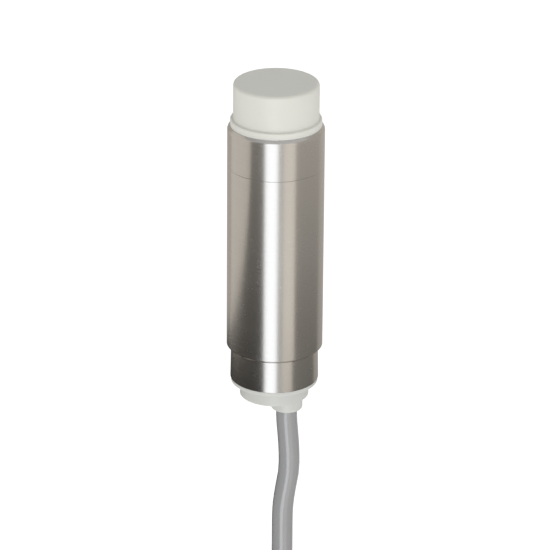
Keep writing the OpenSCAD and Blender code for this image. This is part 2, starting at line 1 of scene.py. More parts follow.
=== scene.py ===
"""Cylindrical non-contact sensor: its housing, its cable with coil, tie and leads, and its finishes.

Metres, +Z towards the sensing face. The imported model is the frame, and every piece keeps its place.
"""

import json
import math

import bmesh
import bpy
from bpy.props import FloatProperty, FloatVectorProperty, IntProperty, PointerProperty
from mathutils import Matrix, Vector
from mathutils.geometry import convex_hull_2d

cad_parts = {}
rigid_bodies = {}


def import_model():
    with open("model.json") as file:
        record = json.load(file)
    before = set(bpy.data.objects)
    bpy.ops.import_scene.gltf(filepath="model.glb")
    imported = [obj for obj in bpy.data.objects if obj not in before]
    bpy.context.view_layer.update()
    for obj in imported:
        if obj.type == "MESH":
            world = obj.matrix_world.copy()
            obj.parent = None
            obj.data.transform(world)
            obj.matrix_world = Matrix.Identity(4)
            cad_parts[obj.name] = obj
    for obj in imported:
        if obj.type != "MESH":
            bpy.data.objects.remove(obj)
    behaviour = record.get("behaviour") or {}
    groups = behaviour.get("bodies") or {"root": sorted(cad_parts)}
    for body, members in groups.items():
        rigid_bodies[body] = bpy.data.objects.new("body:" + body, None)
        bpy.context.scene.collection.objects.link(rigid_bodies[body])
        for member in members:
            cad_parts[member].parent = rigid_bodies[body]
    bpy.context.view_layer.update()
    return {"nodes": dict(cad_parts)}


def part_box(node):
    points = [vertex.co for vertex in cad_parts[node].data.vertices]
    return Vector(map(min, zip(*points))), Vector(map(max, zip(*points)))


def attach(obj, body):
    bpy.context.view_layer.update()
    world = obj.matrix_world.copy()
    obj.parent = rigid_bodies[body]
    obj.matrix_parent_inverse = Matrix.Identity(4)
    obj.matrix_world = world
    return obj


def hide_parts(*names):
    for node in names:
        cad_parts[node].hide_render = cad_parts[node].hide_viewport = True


bl_info = {
    "name": "Cylindrical Sensor",
    "version": (1, 0, 0),
    "blender": (4, 5, 0),
    "location": "View3D > Sidebar > Sensor",
    "description": "Builds the housing, cable and finishes of a cylindrical sensor",
    "category": "Add Mesh",
}

# An empty scene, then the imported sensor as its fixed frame
for leftover in list(bpy.data.objects):
    bpy.data.objects.remove(leftover)
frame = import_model()

MM = 0.001
BODY = "root"

# Fillet of an edge that is only broken
FINE = 0.1 * MM

# Edges that turn by more than these degrees are shaded sharp
SHARP = 35

COLLAR_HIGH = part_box("front_collar")[1]
BARREL_LOW, BARREL_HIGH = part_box("barrel")
HEAD_LOW, HEAD_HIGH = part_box("sensing_cap")
REAR_LOW, REAR_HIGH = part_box("rear_cap")
SEAL_LOW, SEAL_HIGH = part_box("cable_seal")


def axis_of(node):
    """Where a node's upright middle line stands, (x, y)."""
    low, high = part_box(node)
    return ((low + high) / 2).xy


ADJUSTER_AXIS = axis_of("adjuster_screw")
GUIDE_AXIS = axis_of("light_guide")
OUTLET_AXIS = axis_of("cable_stub")
OUTLET = Vector((*OUTLET_AXIS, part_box("cable_stub")[0].z))

# Free stretch of the cable, from the outlet's end down to the tied coil, in millimetres
ROUTE = [
    (0, 0, 0), (0, 0, -3), (0.15, 0, -6), (0.5, 0, -10), (0.8, 0, -14), (1.0, 0, -18),
    (1.05, 0, -22), (0.8, 0, -26), (0.15, 0, -30), (-0.6, 0, -35), (-1.1, -0.3, -40),
    (-1.2, -1.0, -45), (-1.2, -2.0, -50), (-1.2, -3.2, -55), (-1.2, -4.4, -60),
    (-1.8, -5.7, -66.5), (-3.7, -6.7, -72.7), (-6.7, -7.4, -78.5), (-10.7, -7.8, -83.6),
    (-15.7, -8.0, -87.9), (-21.3, -8.0, -91.0),
]

# The coil's middle, sideways from the outlet
COIL_SIDE = -1.2 * MM


# ---- sizes and colours that a user would change ----

def length(name, description, millimetres, lowest=0):
    """A size or height, given in millimetres."""
    return FloatProperty(
        name=name, description=description, default=millimetres * MM, min=lowest, unit="LENGTH")


def turn(name, description, degrees):
    """An angle, given in degrees."""
    return FloatProperty(
        name=name, description=description, default=math.radians(degrees), unit="ROTATION",
        subtype="ANGLE",
    )


def tint(name, description, default):
    """A linear colour."""
    return FloatVectorProperty(
        name=name, description=description, default=default, size=3, min=0, max=1,
        subtype="COLOR",
    )


def amount(name, description, default, high=1.0):
    """A plain number, such as a share or a radiance."""
    return FloatProperty(name=name, description=description, default=default, min=0, max=high)


class HousingSettings(bpy.types.PropertyGroup):
    """Metal tube, moulded head and rear cap."""

    wall: length("Wall", "Wall thickness of collar and barrel", 2.5)
    tail_len: length("Tail", "Length of the turned-down tail", 12.8)
    tail_step: length("Tail step", "Radial step down to the tail", 1.55)
    tail_flare: length("Tail flare", "Radial growth of the tail to its end", 0.2)
    rim_w: length("Rim bevel", "Radial width of the front bevel", 1.0)
    rim_h: length("Rim bevel height", "Axial height of the front bevel", 1.2)
    spigot_len: length("Spigot", "Length of the collar's spigot", 6.0)
    spigot_wall: length("Spigot wall", "Wall thickness of the spigot", 1.0)
    rim_round: length("Rim rounding", "Rounding below the front bevel", 1.5)
    relief_w: length("Relief", "Width of the V groove at the foot of the step", 0.62)
    relief_depth: length("Relief depth", "Depth of that groove", 0.4)
    edge: length("Edge", "Rounding of the turned edges", 0.16)
    head_d: length("Head", "Diameter of the sensing head", 30.0)
    head_wall: length("Head wall", "Side wall of the head", 2.0)
    face_wall: length("Face wall", "Thickness of the sensing face", 2.2)
    face_round: length("Face edge", "Rounding of the face's edge", 1.2)
    flange_h: length("Flange", "Height of the head's flange", 2.4)
    flange_round: length("Flange edge", "Rounding of the flange's upper edge", 0.55)
    ring_w: length("Ring groove", "Width of the grooves for the O-rings", 1.4)
    ring_depth: length("Ring groove depth", "Depth of those grooves", 0.96)
    fit: length("Fit", "Gap between parts pushed together", 0.05)
    sides: IntProperty(
        name="Sides", description="Facets round a turned piece", default=192, min=48, max=360)
    steel: tint("Steel", "Colour of the turned steel", (0.61, 0.59, 0.56))
    plastic: tint("Head", "Colour of the off-white sensing head", (0.695, 0.693, 0.639))
    # The rear cap is the head's white plastic, darkened: painted shade for the shade it lies in below the
    # head
    rear_plastic_painted_shade: tint("Rear cap", "Colour of the rear cap", (0.58, 0.585, 0.555))


class CableSettings(bpy.types.PropertyGroup):
    """Jacket, coil, tie and leads."""

    diameter: length("Diameter", "Outer diameter of the jacket", 7.5)
    total: length("Length", "Length from the outlet to the jacket's end", 2000)
    coil_r: length("Coil radius", "Mean radius of the tied coil", 42.5)
    pitch: length("Pitch", "Distance between neighbouring turns", 7.7)
    layers: IntProperty(name="Layers", description="Layers of the coil", default=4, min=1)
    layer_turns: amount("Turns", "Turns in one layer", 1.775, 4.0)
    start_turn: turn("Start", "Angle at which the cable joins the coil", 114.1)
    coil_drop: length("Drop", "Height from the outlet's end to the coil's middle", 136.0)
    tie_turn: turn("Tie", "Place of the tie on the coil", 127.0)
    tie_w: length("Tie width", "Width of the strap", 4.6)
    tie_t: length("Tie thickness", "Thickness of the strap", 1.0)
    wire_d: length("Wire", "Diameter of one insulated wire", 1.7)
    sleeve_len: length("Sleeve", "Length of a wire end sleeve", 8.0)
    sleeve_r: length("Sleeve radius", "Radius of a wire end sleeve", 0.75)
    sides: IntProperty(name="Sides", description="Facets round the jacket", default=28, min=12)
    jacket: tint("Jacket", "Colour of the grey jacket", (0.34, 0.34, 0.343))
    nylon: tint("Nylon", "Colour of the natural nylon tie", (0.72, 0.70, 0.63))


class StageSettings(bpy.types.PropertyGroup):
    """Floor, light and camera."""

    view_distance: length("Distance", "From the camera to the point it looks at", 1358.9)
    view_height: length("Aim", "Height the camera looks at", -8.1, -1)
    view_tilt: turn("Elevation", "How far the camera looks down", 23.485)
    view_roll: turn("Roll", "Turn of the camera about its own axis", 0.446)
    lens: amount("Lens", "Focal length in millimetres", 252.4, 1000)
    floor_z: length("Floor", "Height of the floor", -410, -1)
    card_r: length("Cards", "Radius of the ring of light cards", 200)
    sky: amount("Sky", "Radiance of the room", 0.69, 10.0)
    left_sky: amount("Left sky", "Radiance of the room's left wall", 0.33, 10.0)
    floor_glow: amount("Floor glow", "Radiance that the lit floor gives of itself", 0.6, 10.0)
    lamp: amount("Lamp", "Power of the front lamp in watts", 1.8, 100.0)


# ---- materials ----

class Wire:
    """A number, vector or shape on its way through nodes; arithmetic adds Math nodes."""

    def __init__(self, nodes, socket):
        self.nodes = nodes
        self.socket = socket

    def maths(self, operation, *values):
        inputs = dict(enumerate(values))
        return self.nodes.node("ShaderNodeMath", {"operation": operation}, inputs)

    def __add__(self, other):
        return self.maths("ADD", self, other)

    def __sub__(self, other):
        return self.maths("SUBTRACT", self, other)

    def __mul__(self, other):
        return self.maths("MULTIPLY", self, other)

    def __pow__(self, other):
        return self.maths("POWER", self, other)

    def __rsub__(self, other):
        return self.maths("SUBTRACT", other, self)

    def sine(self):
        return self.maths("SINE", self)

    __radd__ = __add__
    __rmul__ = __mul__


class Nodes:
    """A node tree that is being filled."""

    def node(self, kind, settings=None, inputs=None, output=0):
        made = self.tree.nodes.new(kind)
        for key, value in (settings or {}).items():
            if key == "stops":
                self.set_stops(made.color_ramp, value)
            else:
                setattr(made, key, value)
        for key, value in (inputs or {}).items():
            self.feed(made.inputs[key], value)
        return Wire(self, made.outputs[output])

    def set_stops(self, ramp, stops):
        while len(ramp.elements) < len(stops):
            ramp.elements.new(1)
        for element, (place, level) in zip(ramp.elements, stops):
            element.position = place
            element.color = (level, level, level, 1)

    def feed(self, socket, value):
        if isinstance(value, Wire):
            self.tree.links.new(value.socket, socket)
        else:
            socket.default_value = value

    def join(self, x, y, z):
        return self.node("ShaderNodeCombineXYZ", inputs={0: x, 1: y, 2: z})


class Shading(Nodes):
    """The shader nodes of one material or of the room."""

    def __init__(self, owner):
        owner.use_nodes = True
        self.tree = owner.node_tree

    def surface(self, shader):
        """Makes a shader the material's whole surface."""
        self.feed(self.tree.nodes["Material Output"].inputs["Surface"], shader)

    def parts(self, space="Object"):
        """X, Y and Z of the object's coordinates, in metres, or of another space."""
        place = self.node("ShaderNodeTexCoord", output=space)
        split = self.node("ShaderNodeSeparateXYZ", inputs={0: place}).socket.node
        return [Wire(self, socket) for socket in split.outputs]

    def noise(self, scale, detail=2.0, roughness=0.5, vector=None):
        """Noise on the object's coordinates, or on another vector."""
        place = vector or self.node("ShaderNodeTexCoord", output="Object")
        inputs = {"Vector": place, "Scale": scale, "Detail": detail, "Roughness": roughness}
        return self.node("ShaderNodeTexNoise", inputs=inputs)

    def streaks(self, x, y, z, across, along, detail=2.0, roughness=0.5):
        """Noise drawn out over a surface, from its scales across and along Z."""
        vector = self.join(x * across, y * across, z * along)
        return self.noise(1.0, detail, roughness, vector)

    def ramp(self, value, *stops):
        return self.node("ShaderNodeValToRGB", {"stops": stops}, {0: value})

    def blend(self, factor, first, second):
        inputs = {0: factor, 6: first, 7: second}
        return self.node("ShaderNodeMix", {"data_type": "RGBA"}, inputs, 2)

    def bump(self, height, distance):
        inputs = {"Strength": 1.0, "Distance": distance, "Height": height}
        return self.node("ShaderNodeBump", inputs=inputs)

    def spread(self, value, low, high):
        """A level that goes evenly from one (value, level) to another."""
        inputs = {"Value": value, "From Min": low[0], "From Max": high[0],
                  "To Min": low[1], "To Max": high[1]}
        return self.node("ShaderNodeMapRange", inputs=inputs)


class Finish(Shading):
    """One material: a Principled shader with constant sockets, and nodes that vary the rest."""

    def __init__(self, name, **constants):
        self.material = bpy.data.materials.new(name)
        super().__init__(self.material)
        self.shader = self.tree.nodes["Principled BSDF"]
        self.give(**constants)

    def give(self, **values):
        for key, value in values.items():
            label = key.replace("_", " ").title().replace("Ior", "IOR")
            self.feed(self.shader.inputs[label], value)


def rgba(colour, level=1.0):
    """A colour times a level, opaque."""
    return tuple(min(1.0, part * level) for part in colour) + (1.0,)


def turned_steel(name, colour):
    """Fine-turned stainless steel: grooves round the axis, cloudy sheen, a few handling marks."""
    steel = Finish(name, metallic=1.0)
    x, y, z = steel.parts()
    radius = (x * x + y * y) ** 0.5
    along = radius + z
    groove = steel.streaks(x, y, along, 40.0, 9000.0, 3.0, 0.6)
    streak = steel.streaks(x, y, along, 60.0, 1500.0, 2.0)
    cloud = steel.noise(45.0, 3.0)
    ripple = steel.streaks(x, y, along, 260.0, 1300.0, 1.0)
    speck = steel.streaks(x, y, z, 900.0, 2200.0, 1.0)
    mark = steel.ramp(speck, (0.72, 0.0), (0.82, 1.0))
    worn = steel.blend(cloud, rgba(colour, 0.94), rgba((colour[0], colour[1] * 1.015, colour[2] * 1.03)))
    steel.give(
        base_color=steel.blend(streak * 0.35, worn, rgba(colour, 0.86)),
        roughness=0.17 + 0.08 * cloud + 0.05 * streak + 0.12 * mark,
        normal=steel.bump(groove + 3.5 * ripple + 0.3 * mark, 1.6e-6),
    )


def moulded(name, colour, roughness=0.42, grain=4500.0, depth=4e-6, **constants):
    """Moulded plastic: a fine eroded grain, slight clouding and a softly uneven gloss."""
    plastic = Finish(name, **constants)
    pores = plastic.noise(grain, 2.0)
    cloud = plastic.noise(70.0, 3.0)
    wave = plastic.noise(320.0, 1.0)
    plastic.give(
        base_color=plastic.blend(cloud, rgba(colour, 0.965), rgba(colour, 1.03)),
        roughness=roughness - 0.06 + 0.12 * cloud,
        normal=plastic.bump(pores + 3.0 * wave, depth),
    )


def plated(name, colour, roughness=0.25, **constants):
    """Drawn or plated metal with fine lines and dull patches."""
    metal = Finish(name, metallic=1.0, **constants)
    x, y, z = metal.parts()
    lines = metal.streaks(x, y, z, 300.0, 6000.0, 2.0)
    cloud = metal.noise(260.0, 3.0)
    metal.give(
        base_color=metal.blend(cloud, rgba(colour, 0.86), rgba(colour)),
        roughness=roughness + 0.16 * cloud,
        normal=metal.bump(lines, 2e-6),
    )


def jacket(name, colour, roughness=0.18):
    """Extruded cable jacket: a sleek skin with faint draw marks and a few scuffs."""
    skin = Finish(
        name, subsurface_weight=0.04, subsurface_scale=0.001, specular_ior_level=1.0,
        coat_weight=0.6, coat_roughness=0.18)
    pores = skin.noise(2600.0, 3.0)
    cloud = skin.noise(110.0, 3.0)
    scuff = skin.ramp(skin.noise(700.0, 4.0, 0.7), (0.62, 0.0), (0.72, 1.0))
    skin.give(
        base_color=skin.blend(0.12 * scuff + 0.4 * cloud, rgba(colour, 0.97), rgba(colour, 1.07)),
        roughness=roughness + 0.08 * cloud + 0.1 * scuff,
        normal=skin.bump(pores + 1.5 * cloud, 3e-6),
    )


def circuit_board(name):
    """Glass laminate under green resist, with its weave and darker bare strips."""
    board = Finish(name, coat_weight=0.3, coat_roughness=0.15)
    x, y, z = board.parts()
    weave = (x * 5200.0).sine() * (z * 5200.0).sine()
    tracks = board.ramp(board.streaks(x, y, z, 160.0, 900.0, 0.0),
                        (0.50, 0.0), (0.53, 1.0))
    board.give(
        base_color=board.blend(tracks, rgba((0.012, 0.11, 0.045)), rgba((0.02, 0.17, 0.07))),
        roughness=0.34 + 0.06 * weave,
        normal=board.bump(weave * 0.3 + tracks, 9e-6),
    )


def wound_copper(name):
    """Enamelled wire, turn beside turn."""
    wire = Finish(name, metallic=1.0, coat_weight=0.6, coat_roughness=0.12)
    turns = (wire.parts()[1] * 14000.0).sine()
    wire.give(
        base_color=wire.blend(0.5 + 0.5 * turns, rgba((0.38, 0.12, 0.04)), rgba((0.85, 0.40, 0.20))),
        roughness=0.3 - 0.08 * turns,
        normal=wire.bump(turns, 6e-5),
    )


def sintered(name, colour):
    """Ferrite: dark, matt and slightly pitted."""
    core = Finish(name)
    pits = core.ramp(core.noise(2500.0, 4.0, 0.7), (0.3, 0.0), (0.5, 1.0))
    core.give(
        base_color=core.blend(pits, rgba(colour, 0.6), rgba(colour)),
        roughness=0.75 - 0.15 * pits,
        normal=core.bump(pits, 1.5e-5),
    )


def cast_resin(name, colour):
    """Cast potting resin with a glossy, faintly rippled skin."""
    resin = Finish(name, coat_weight=0.5, coat_roughness=0.08)
    ripple = resin.noise(180.0, 2.0)
    bubbles = resin.ramp(resin.noise(1300.0, 0.0), (0.70, 0.0), (0.76, 1.0))
    resin.give(
        base_color=resin.blend(ripple, rgba(colour, 0.8), rgba(colour, 1.15)),
        roughness=0.22 + 0.1 * ripple,
        normal=resin.bump(ripple - 0.2 * bubbles, 6e-5),
    )


def make_finishes(housing, cable):
    """Makes the material of every slot of the record, under the slot's name."""
    white = dict(
        subsurface_weight=0.35, subsurface_scale=0.0015, subsurface_radius=(1.0, 0.95, 0.85))
    waxy = dict(subsurface_weight=0.2, subsurface_scale=0.002)
    turned_steel("turned_steel", tuple(housing.steel))
    moulded("head_plastic", tuple(housing.plastic), 0.44, **white)
    # Rear cap: the head's white plastic, its darker colour painted shade
    moulded("cap_plastic", tuple(housing.rear_plastic_painted_shade), 0.46, **white)
    moulded("natural_plastic", tuple(cable.nylon), 0.38, 1800.0, **waxy)
    for name, colour, roughness, clearness, ior in (
        ("clear_plastic", (0.93, 0.80, 0.45), 0.12, 0.55, 1.49),
        ("lamp_body", (0.90, 0.62, 0.10), 0.15, 0.4, 1.5),
    ):
        moulded(name, colour, roughness, 900.0, 2e-6, transmission_weight=clearness, ior=ior)
    for name, colour, roughness, grain in (
        ("black_component", (0.022, 0.022, 0.024), 0.50, 6000.0),
        ("tan_component", (0.42, 0.31, 0.20), 0.35, 5000.0),
        ("blue_component", (0.03, 0.13, 0.40), 0.28, 2500.0),
        ("can_sleeve", (0.015, 0.03, 0.10), 0.25, 1500.0),
    ):
        moulded(name, colour, roughness, grain)
    moulded("black_rubber", (0.018, 0.018, 0.018), 0.65, 3500.0, 8e-6)
    for shade, colour in (
        ("brown", (0.14, 0.052, 0.022)), ("black", (0.02, 0.02, 0.021)), ("blue", (0.02, 0.10, 0.42)),
    ):
        jacket(shade + "_insulation", colour, 0.34)
    jacket("grey_jacket", tuple(cable.jacket))
    plated("brass", (0.80, 0.62, 0.30), 0.22)
    plated("gold_pin", (0.95, 0.73, 0.36), 0.15)
    plated("tinned_metal", (0.76, 0.75, 0.72), 0.28)
    wound_copper("copper")
    circuit_board("circuit_board")
    sintered("ferrite", (0.045, 0.043, 0.042))
    cast_resin("potting_resin", (0.10, 0.045, 0.018))


# ---- mesh helpers ----

def rounded(corners, steps=6, strip=0.35):
    """A closed outline (radius, height) through corners (radius, height, fillet).

    Each fillet is an arc with a short straight strip at both ends, which keeps the shading of
    the long faces flat. A corner on the axis has no fillet.
    """
    outline = []
    count = len(corners)
    for k, (radius, height, fillet) in enumerate(corners):
        here = Vector((radius, height))
        before = Vector(corners[k - 1][:2]) - here
        after = Vector(corners[(k + 1) % count][:2]) - here
        if fillet == 0:
            outline.append(here)
            continue
        half = before.angle(after) / 2
        room = 0.45 * min(before.length, after.length)
        reach = min(fillet / math.tan(half), room / (1 + strip))
        fillet = reach * math.tan(half)
        before.normalize()
        after.normalize()
        centre = here + (before + after).normalized() * fillet / math.sin(half)
        start = here + before * reach - centre
        sweep = start.angle_signed(here + after * reach - centre)
        outline.append(here + before * reach * (1 + strip))
        for step in range(steps + 1):
            outline.append(centre + Matrix.Rotation(-sweep * step / steps, 2) @ start)
        outline.append(here + after * reach * (1 + strip))
    return outline


def arc(centre, radius, first, last, steps=8):
    """Corners along an arc from one angle to another, in degrees, for the outlines above."""
    turns = [math.radians(first + (last - first) * k / steps) for k in range(steps + 1)]
    return [(centre[0] + radius * math.cos(a), centre[1] + radius * math.sin(a), 0) for a in turns]


def skirt_radius(housing):
    """Outer radius of the plugs of head and rear cap, which slide into the tube."""
    return BARREL_HIGH.x - housing.wall - housing.fit


def ring_groove(housing, middle):
    """Corners of an O-ring's groove in a plug, from its lower to its upper edge."""
    skirt = skirt_radius(housing)
    root = skirt - housing.ring_depth
    low = middle - housing.ring_w / 2
    high = middle + housing.ring_w / 2
    return [(skirt, low, FINE), (root, low, FINE), (root, high, FINE), (skirt, high, FINE)]


def turned_mesh(outline, sides, centre=(0, 0)):
    """Revolves a closed outline about a line parallel to Z through centre."""
    shape = bmesh.new()
    turns = [2 * math.pi * k / sides for k in range(sides)]
    circle = [(math.cos(a), math.sin(a)) for a in turns]
    rings = []
    for radius, height in outline:
        rings.append([
            shape.verts.new((centre[0] + radius * x, centre[1] + radius * y, height))
            for x, y in (circle if radius > 1e-7 else [(0, 0)])])
    for one, two in zip(rings, rings[1:] + rings[:1]):
        if len(one) == len(two) == 1:
            continue
        for k in range(sides):
            loop = [one[k % len(one)], one[(k + 1) % len(one)], two[(k + 1) % len(two)], two[k % len(two)]]
            shape.faces.new(list(dict.fromkeys(loop)))
    return closed_mesh(shape)


def closed_mesh(shape):
    """Finishes a bmesh: doubles merged, faces outwards and smooth."""
    bmesh.ops.remove_doubles(shape, verts=shape.verts, dist=1e-7)
    bmesh.ops.recalc_face_normals(shape, faces=shape.faces)
    for face in shape.faces:
        face.smooth = True
    return as_mesh(shape)


def as_mesh(shape, name="shape"):
    """A bmesh as a mesh; the bmesh goes."""
    mesh = bpy.data.meshes.new(name)
    shape.to_mesh(mesh)
    shape.free()
    return mesh


def new_object(name, mesh):
    made = bpy.data.objects.new(name, mesh)
    bpy.context.scene.collection.objects.link(made)
    return made


def plain_mesh(source):
    """The evaluated shape of an object as a plain mesh, sharp edges marked; the object goes."""
    graph = bpy.context.evaluated_depsgraph_get()
    mesh = bpy.data.meshes.new_from_object(source.evaluated_get(graph))
    bpy.data.objects.remove(source)
    for face in mesh.polygons:
        face.use_smooth = True
    mesh.set_sharp_from_angle(angle=math.radians(SHARP))
    return mesh


def combined(mesh, cuts):
    """Applies booleans (operation, mesh) to a mesh, one after the other."""
    for operation, tool_mesh in cuts:
        body = new_object("body", mesh)
        tool = new_object("tool", tool_mesh)
        cutter = body.modifiers.new("cut", "BOOLEAN")
        cutter.operation = operation
        cutter.solver = "EXACT"
        cutter.object = tool
        mesh = plain_mesh(body)
        bpy.data.objects.remove(tool)
    return mesh


def rod(radius, low, high, centre, edge=0.0, sides=64):
    """A round bar along Z, its ends rounded by edge, as a mesh."""
    corners = [(0, low, 0), (radius, low, edge), (radius, high, edge), (0, high, 0)]
    return turned_mesh(rounded(corners, 4), sides, centre)


def brick(size, middle, bevel=0.0):
    """A block with rounded edges, as a mesh."""
    shape = bmesh.new()
    bmesh.ops.create_cube(shape, size=1)
    bmesh.ops.scale(shape, vec=size, verts=shape.verts)
    if bevel:
        bmesh.ops.bevel(
            shape, geom=list(shape.edges), offset=bevel, segments=3, profile=0.5,
            affect="EDGES", clamp_overlap=True)
    bmesh.ops.translate(shape, vec=middle, verts=shape.verts)
    return closed_mesh(shape)


def joined(meshes):
    """Several meshes as one."""
    shape = bmesh.new()
    for mesh in meshes:
        shape.from_mesh(mesh)
    return as_mesh(shape)


def add_piece(name, mesh, slot, *nodes):
    """Makes a piece with the material named by its slot, puts it in its body and hides the nodes that it
    stands for.
    """
    piece = new_object(name, mesh)
    piece.data.materials.clear()
    piece.data.materials.append(bpy.data.materials[slot])
    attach(piece, BODY)
    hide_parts(*nodes)
    return piece


# ---- geometry nodes ----

class Shaper(Nodes):
    """A geometry node tree with named inputs."""

    def __init__(self, name, **kinds):
        self.tree = bpy.data.node_groups.new(name, "GeometryNodeTree")
        face = self.tree.interface
        face.new_socket("Geometry", in_out="INPUT", socket_type="NodeSocketGeometry")
        self.ids = {}
        for label, kind in kinds.items():
            made = face.new_socket(label, in_out="INPUT", socket_type="NodeSocket" + kind)
            self.ids[label] = made.identifier
        face.new_socket("Geometry", in_out="OUTPUT", socket_type="NodeSocketGeometry")
        sockets = self.tree.nodes.new("NodeGroupInput").outputs
        self.inputs = {socket.name: Wire(self, socket) for socket in sockets}

    def make(self, kind, settings=None, **inputs):
        """A geometry node; its sockets are named in lower case, with underscores."""
        named = {key.replace("_", " ").title(): value for key, value in inputs.items()}
        return self.node("GeometryNode" + kind, settings, named)

    def end(self, geometry):
        """Realize Instances, Set Material, and the tree's output."""
        whole = self.make("RealizeInstances", geometry=geometry)
        done = self.make("SetMaterial", geometry=whole, material=self.inputs["Material"])
        self.feed(self.tree.nodes.new("NodeGroupOutput").inputs[0], done)
        return self

    def run(self, source, **values):
        """The tree's result on an object, as a plain mesh; the object goes."""
        nodes = source.modifiers.new("nodes", "NODES")
        nodes.node_group = self.tree
        for label, value in values.items():
            nodes[self.ids[label]] = value
        return plain_mesh(source)


def round_sweep(path, radius, sides, slot):
    """A round bar along a path, closed at its ends, as a mesh."""
    sweep = Shaper("round_sweep", Radius="Float", Sides="Int", Material="Material")
    line, around, sides_in = (sweep.inputs[label] for label in ("Geometry", "Radius", "Sides"))
    ring = sweep.make("CurvePrimitiveCircle", resolution=sides_in, radius=around)
    bar = sweep.make("CurveToMesh", curve=line, profile_curve=ring, fill_caps=True)
    return sweep.end(bar).run(
        poly_curve("middle_line", path), Radius=radius, Sides=sides,
        Material=bpy.data.materials[slot])


def rib_row(path, pitch, width, thickness, slot):
    """A row of small ribs across a strap, one each pitch along its path, as a mesh."""
    row = Shaper("rib_row", Pitch="Float", Width="Float", Thickness="Float", Material="Material")
    wide, thick = row.inputs["Width"], row.inputs["Thickness"]
    rib = row.make("MeshCube", size=row.join(thick, wide, thick))
    spots = row.make(
        "CurveToPoints", settings={"mode": "LENGTH"}, curve=row.inputs["Geometry"],
        length=row.inputs["Pitch"])
    turns = Wire(row, spots.socket.node.outputs["Rotation"])
    ribs = row.make("InstanceOnPoints", points=spots, instance=rib, rotation=turns)
    return row.end(ribs).run(
        poly_curve("row_line", path), Pitch=pitch, Width=width, Thickness=thickness,
        Material=bpy.data.materials[slot])


def poly_curve(name, points):
    """A straight-edged open curve through points."""
    data = bpy.data.curves.new(name, "CURVE")
    data.dimensions = "3D"
    line = data.splines.new("POLY")
    line.points.add(len(points) - 1)
    for spot, point in zip(line.points, points):
        spot.co = (*point, 1)
    return new_object(name, data)


def smooth_line(points, spacing):
    """Points along a smooth curve through the given ones, about spacing apart."""
    ends = [2 * points[0] - points[1]] + points + [2 * points[-1] - points[-2]]
    line = []
    for a, b, c, d in zip(ends, ends[1:], ends[2:], ends[3:]):
        steps = max(1, round((c - b).length / spacing))
        for k in range(steps):
            t = k / steps
            line.append(0.5 * (
                2 * b + (c - a) * t + (2 * a - 5 * b + 4 * c - d) * t ** 2
                + (3 * b - a - 3 * c + d) * t ** 3))
    return line + [points[-1]]


def bow(first, lean, last, count=24):
    """A smooth curve from first to last that leans towards a third point."""
    steps = [k / count for k in range(count + 1)]
    return [(1 - t) ** 2 * first + 2 * t * (1 - t) * lean + t ** 2 * last for t in steps]


# ---- the tied coil ----

def coil_centre(cable):
    depth = ROUTE[-1][1] * MM + (cable.layers - 1) * cable.pitch / 2
    return OUTLET + Vector((COIL_SIDE, depth, -cable.coil_drop))


def strand(cable, turns):
    """Angle, radius and depth of the coiled cable's middle, so many turns from its start.

    The layers lie side by side. Each winds in or out at one pitch a turn, and the cable
    steps over to the next layer where the winding turns back.
    """
    swing = cable.layer_turns * cable.pitch
    layer = turns / cable.layer_turns
    share = layer % 2
    inward = min(share, 2 - share)
    blunt = 0.04
    if inward < blunt:
        inward = blunt / 2 + inward ** 2 / (2 * blunt)
    if inward > 1 - blunt:
        inward = 1 - blunt / 2 - (1 - inward) ** 2 / (2 * blunt)
    depth = -(cable.layers - 1) / 2
    for change in range(1, cable.layers):
        way = max(0.0, min(1.0, (turns - change * cable.layer_turns) / 0.5 + 0.5))
        depth += way * way * (3 - 2 * way)
    angle = cable.start_turn + 2 * math.pi * turns
    return angle, cable.coil_r + swing / 2 - swing * inward, depth * cable.pitch


def coil_points(cable, per_turn=36):
    """Points along the coil, from the turn that the free stretch joins to the jacket's end."""
    centre = coil_centre(cable)
    total = cable.layers * cable.layer_turns
    count = round(total * per_turn)
    points = []
    for k in range(1, count + 1):
        angle, radius, depth = strand(cable, total * k / count)
        points.append(centre + Vector((radius * math.cos(angle), depth, radius * math.sin(angle))))
    return points


def cable_path(cable):
    free = [OUTLET + MM * Vector(step) for step in ROUTE]
    return smooth_line(free + coil_points(cable), 3 * MM)


def coil_ways(angle):
    """Unit vectors at an angle of the coil: out of it, and onwards along its strands."""
    outwards = Vector((math.cos(angle), 0, math.sin(angle)))
    return outwards, Vector((-math.sin(angle), 0, math.cos(angle)))


# Where the loose wires end, from the jacket's end, and how far they lean onwards, in millimetres
LEAD_LEAN = 16
LEAD_ENDS = {"brown": (-16, 0, -31), "black": (-19.5, 2.5, -29), "blue": (-13.5, 3, -34)}


def lead_path(cable, place):
    """The middle line of one loose wire; place is its number, 0 to 2."""
    jacket_end = coil_points(cable)[-1]
    outwards, onwards = coil_ways(strand(cable, cable.layers * cable.layer_turns)[0])
    side = 2 * math.pi * place / len(LEAD_ENDS)
    start = jacket_end + cable.wire_d * (
        outwards * math.cos(side) + Vector((0, math.sin(side), 0)))
    last = jacket_end + MM * Vector(list(LEAD_ENDS.values())[place])
    return bow(start, start + LEAD_LEAN * MM * onwards, last)


def strap_outline(cable, gap=0.12 * MM, round_steps=24):
    """Closed line (outwards, across) just outside the bundle of strands at the tie."""
    first = (cable.tie_turn - cable.start_turn) / (2 * math.pi)
    turns = cable.layers * cable.layer_turns
    reach = cable.diameter / 2 + gap
    cloud = []
    for k in range(math.ceil(turns - first)):
        _, radius, depth = strand(cable, first + k)
        for step in range(round_steps):
            side = 2 * math.pi * step / round_steps
            cloud.append((radius + reach * math.cos(side), depth + reach * math.sin(side)))
    return [Vector(cloud[k]) for k in convex_hull_2d(cloud)]


def tie_place(cable):
    """The tie's own axes: outwards, across the coil, along its strands."""
    outwards, along = coil_ways(cable.tie_turn)
    turned = Matrix((outwards, Vector((0, 1, 0)), along)).transposed()
    return Matrix.Translation(coil_centre(cable)) @ turned.to_4x4()


